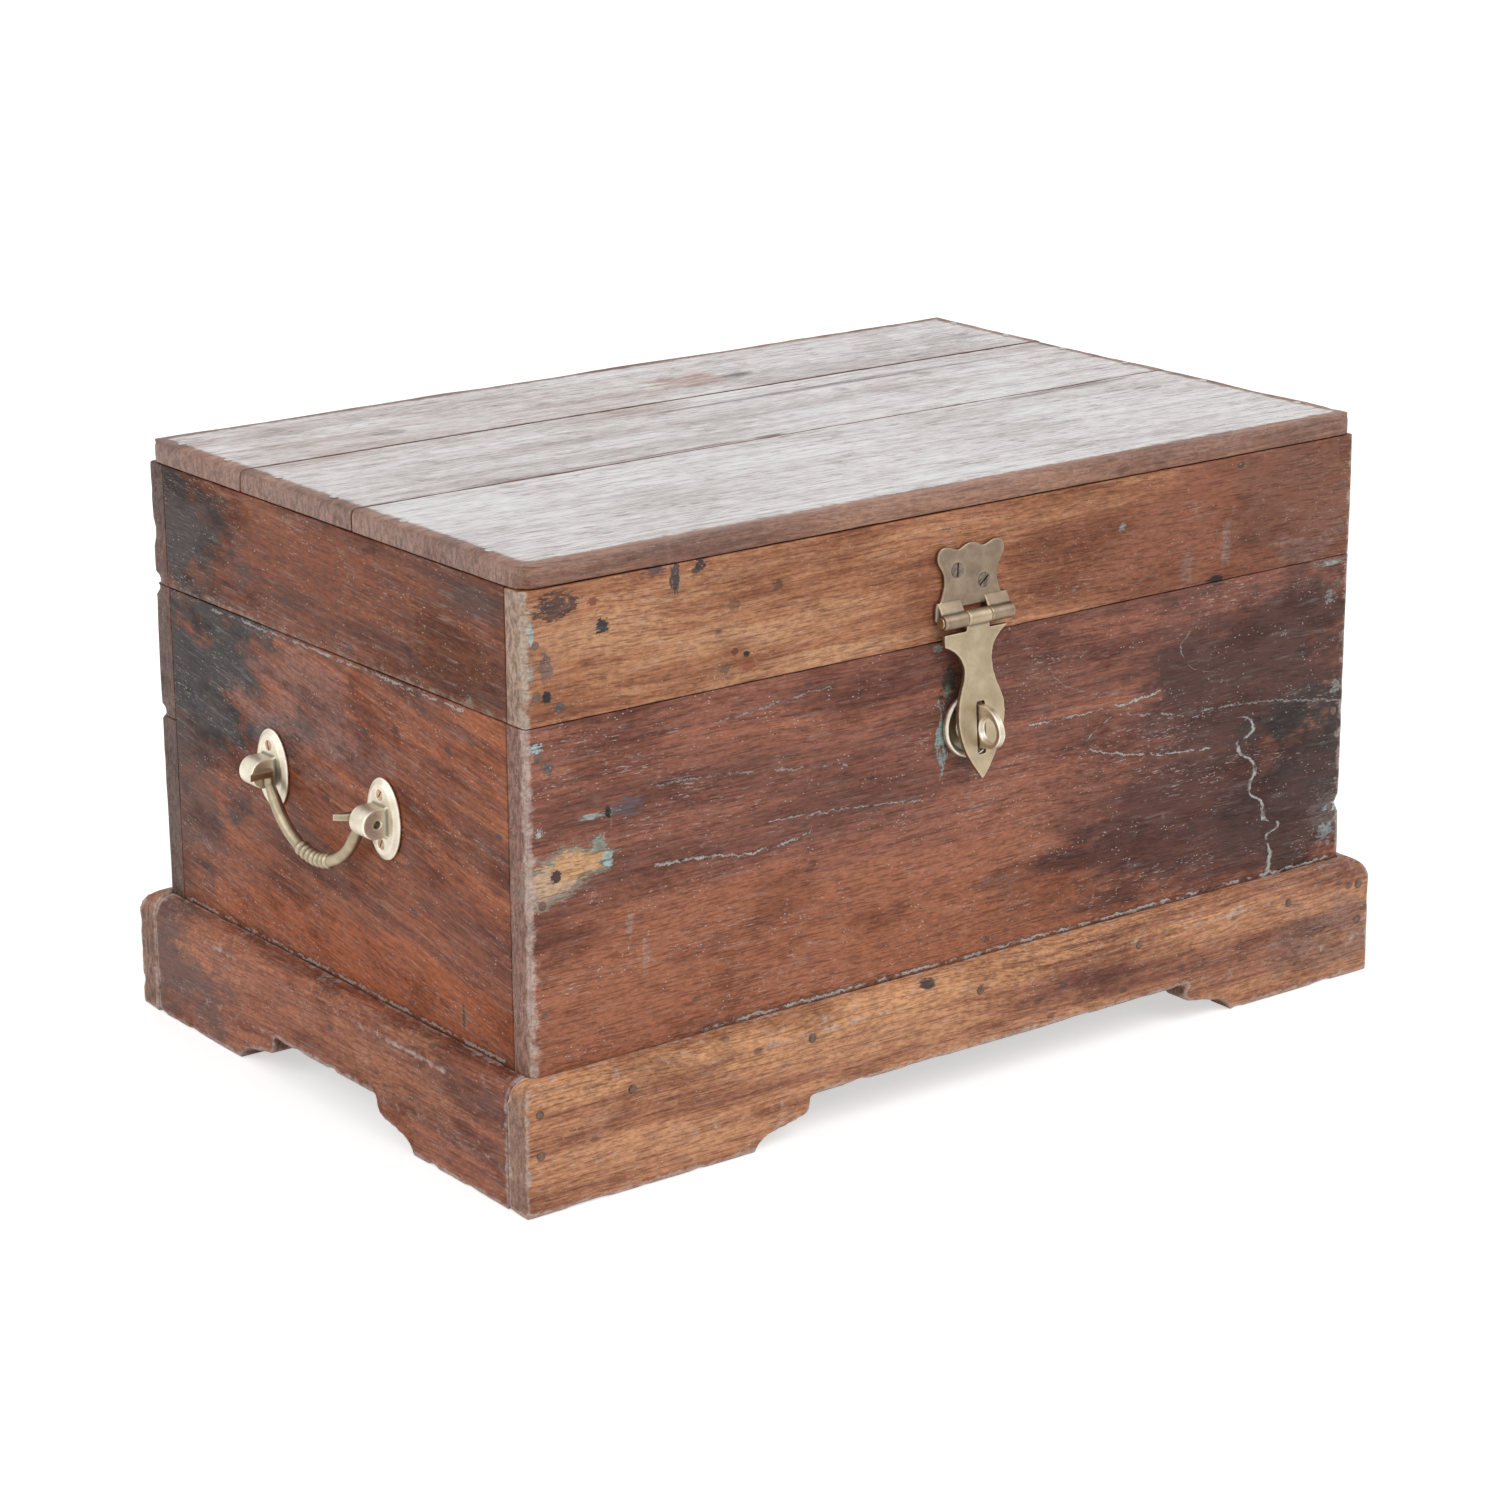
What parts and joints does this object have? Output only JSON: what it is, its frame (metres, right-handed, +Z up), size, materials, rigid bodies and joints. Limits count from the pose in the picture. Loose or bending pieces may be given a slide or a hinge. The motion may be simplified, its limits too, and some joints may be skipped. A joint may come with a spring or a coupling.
{
  "type": "damchiya chest",
  "caption": "Small dowry chest: a nailed teak case on a bracket-foot plinth, with a hinged box lid, a brass hasp and staple, and a drop handle at each end.",
  "frame": {"origin": "on the floor, in the middle of the whole footprint (staple included)", "axes": "+X along the chest to the viewer's right when facing its front, the hasp faces -Y, +Z up"},
  "size_m": [0.552, 0.3686, 0.3],
  "materials": {
    "weathered_top": "sun-bleached grey-white teak, dry and matt",
    "lid_teak": "old oiled teak, honey to red-brown, scratched",
    "case_teak": "old oiled teak, dark red-brown, scratched",
    "base_teak": "old oiled teak, worn pale on its moulding",
    "inner_teak": "bare unfinished teak",
    "brass": "aged cast brass with green verdigris in its corners",
    "hinge_brass": "dull aged brass",
    "steel_screws": "dull grey and coppery screw heads",
    "iron": "rust-dark nail heads"
  },
  "bodies": {
    "carcass": {"base_back_board": "base_teak", "base_front_board": "base_teak", "base_left_board": "base_teak", "base_nails": "iron", "base_right_board": "base_teak", "case_back_lower_plank": "case_teak", "case_back_upper_plank": "case_teak", "case_front_board": "case_teak", "case_left_side": "case_teak", "case_nails": "iron", "case_right_side": "case_teak", "floor_board_1": "inner_teak", "floor_board_2": "inner_teak", "floor_board_3": "inner_teak", "floor_nails": "iron", "foot_block_back_left": "inner_teak", "foot_block_back_right": "inner_teak", "foot_block_front_left": "inner_teak", "foot_block_front_right": "inner_teak", "hinge_screws_case": "hinge_brass", "left_handle_front_plate": "brass", "left_handle_rear_plate": "brass", "left_handle_screws": "brass", "left_hinge_case_leaf": "hinge_brass", "left_hinge_pin": "hinge_brass", "right_handle_front_plate": "brass", "right_handle_rear_plate": "brass", "right_handle_screws": "brass", "right_hinge_case_leaf": "hinge_brass", "right_hinge_pin": "hinge_brass", "staple": "brass", "staple_rove": "brass"},
    "lid": {"hasp_pin": "brass", "hasp_plate": "brass", "hasp_screws": "steel_screws", "hinge_screws_lid": "hinge_brass", "left_hinge_lid_leaf": "hinge_brass", "lid_back_rail": "lid_teak", "lid_front_rail": "lid_teak", "lid_left_rail": "lid_teak", "lid_nails": "iron", "lid_right_rail": "lid_teak", "lid_top_front_plank": "weathered_top", "lid_top_middle_plank": "weathered_top", "lid_top_rear_plank": "weathered_top", "right_hinge_lid_leaf": "hinge_brass", "top_nails": "iron"},
    "hasp_strap": {"hasp_strap": "brass"},
    "left_bail": {"left_handle_bail": "brass"},
    "right_bail": {"right_handle_bail": "brass"}
  },
  "joints": [
    {"name": "lid_hinge", "type": "hinge", "parent": "carcass", "child": "lid", "pos_m": [0, 0.1749, 0.226], "axis": [-1, 0, 0], "range_deg": [0, 105]},
    {"name": "hasp_hinge", "type": "hinge", "parent": "lid", "child": "hasp_strap", "pos_m": [0, -0.1641, 0.2365], "axis": [-1, 0, 0], "range_deg": [0, 165]},
    {"name": "left_handle_swing", "type": "hinge", "parent": "carcass", "child": "left_bail", "pos_m": [-0.2634, 0.0099, 0.1555], "axis": [0, 1, 0], "range_deg": [-4, 95]},
    {"name": "right_handle_swing", "type": "hinge", "parent": "carcass", "child": "right_bail", "pos_m": [0.2634, 0.0099, 0.1555], "axis": [0, -1, 0], "range_deg": [-4, 95]}
  ]
}
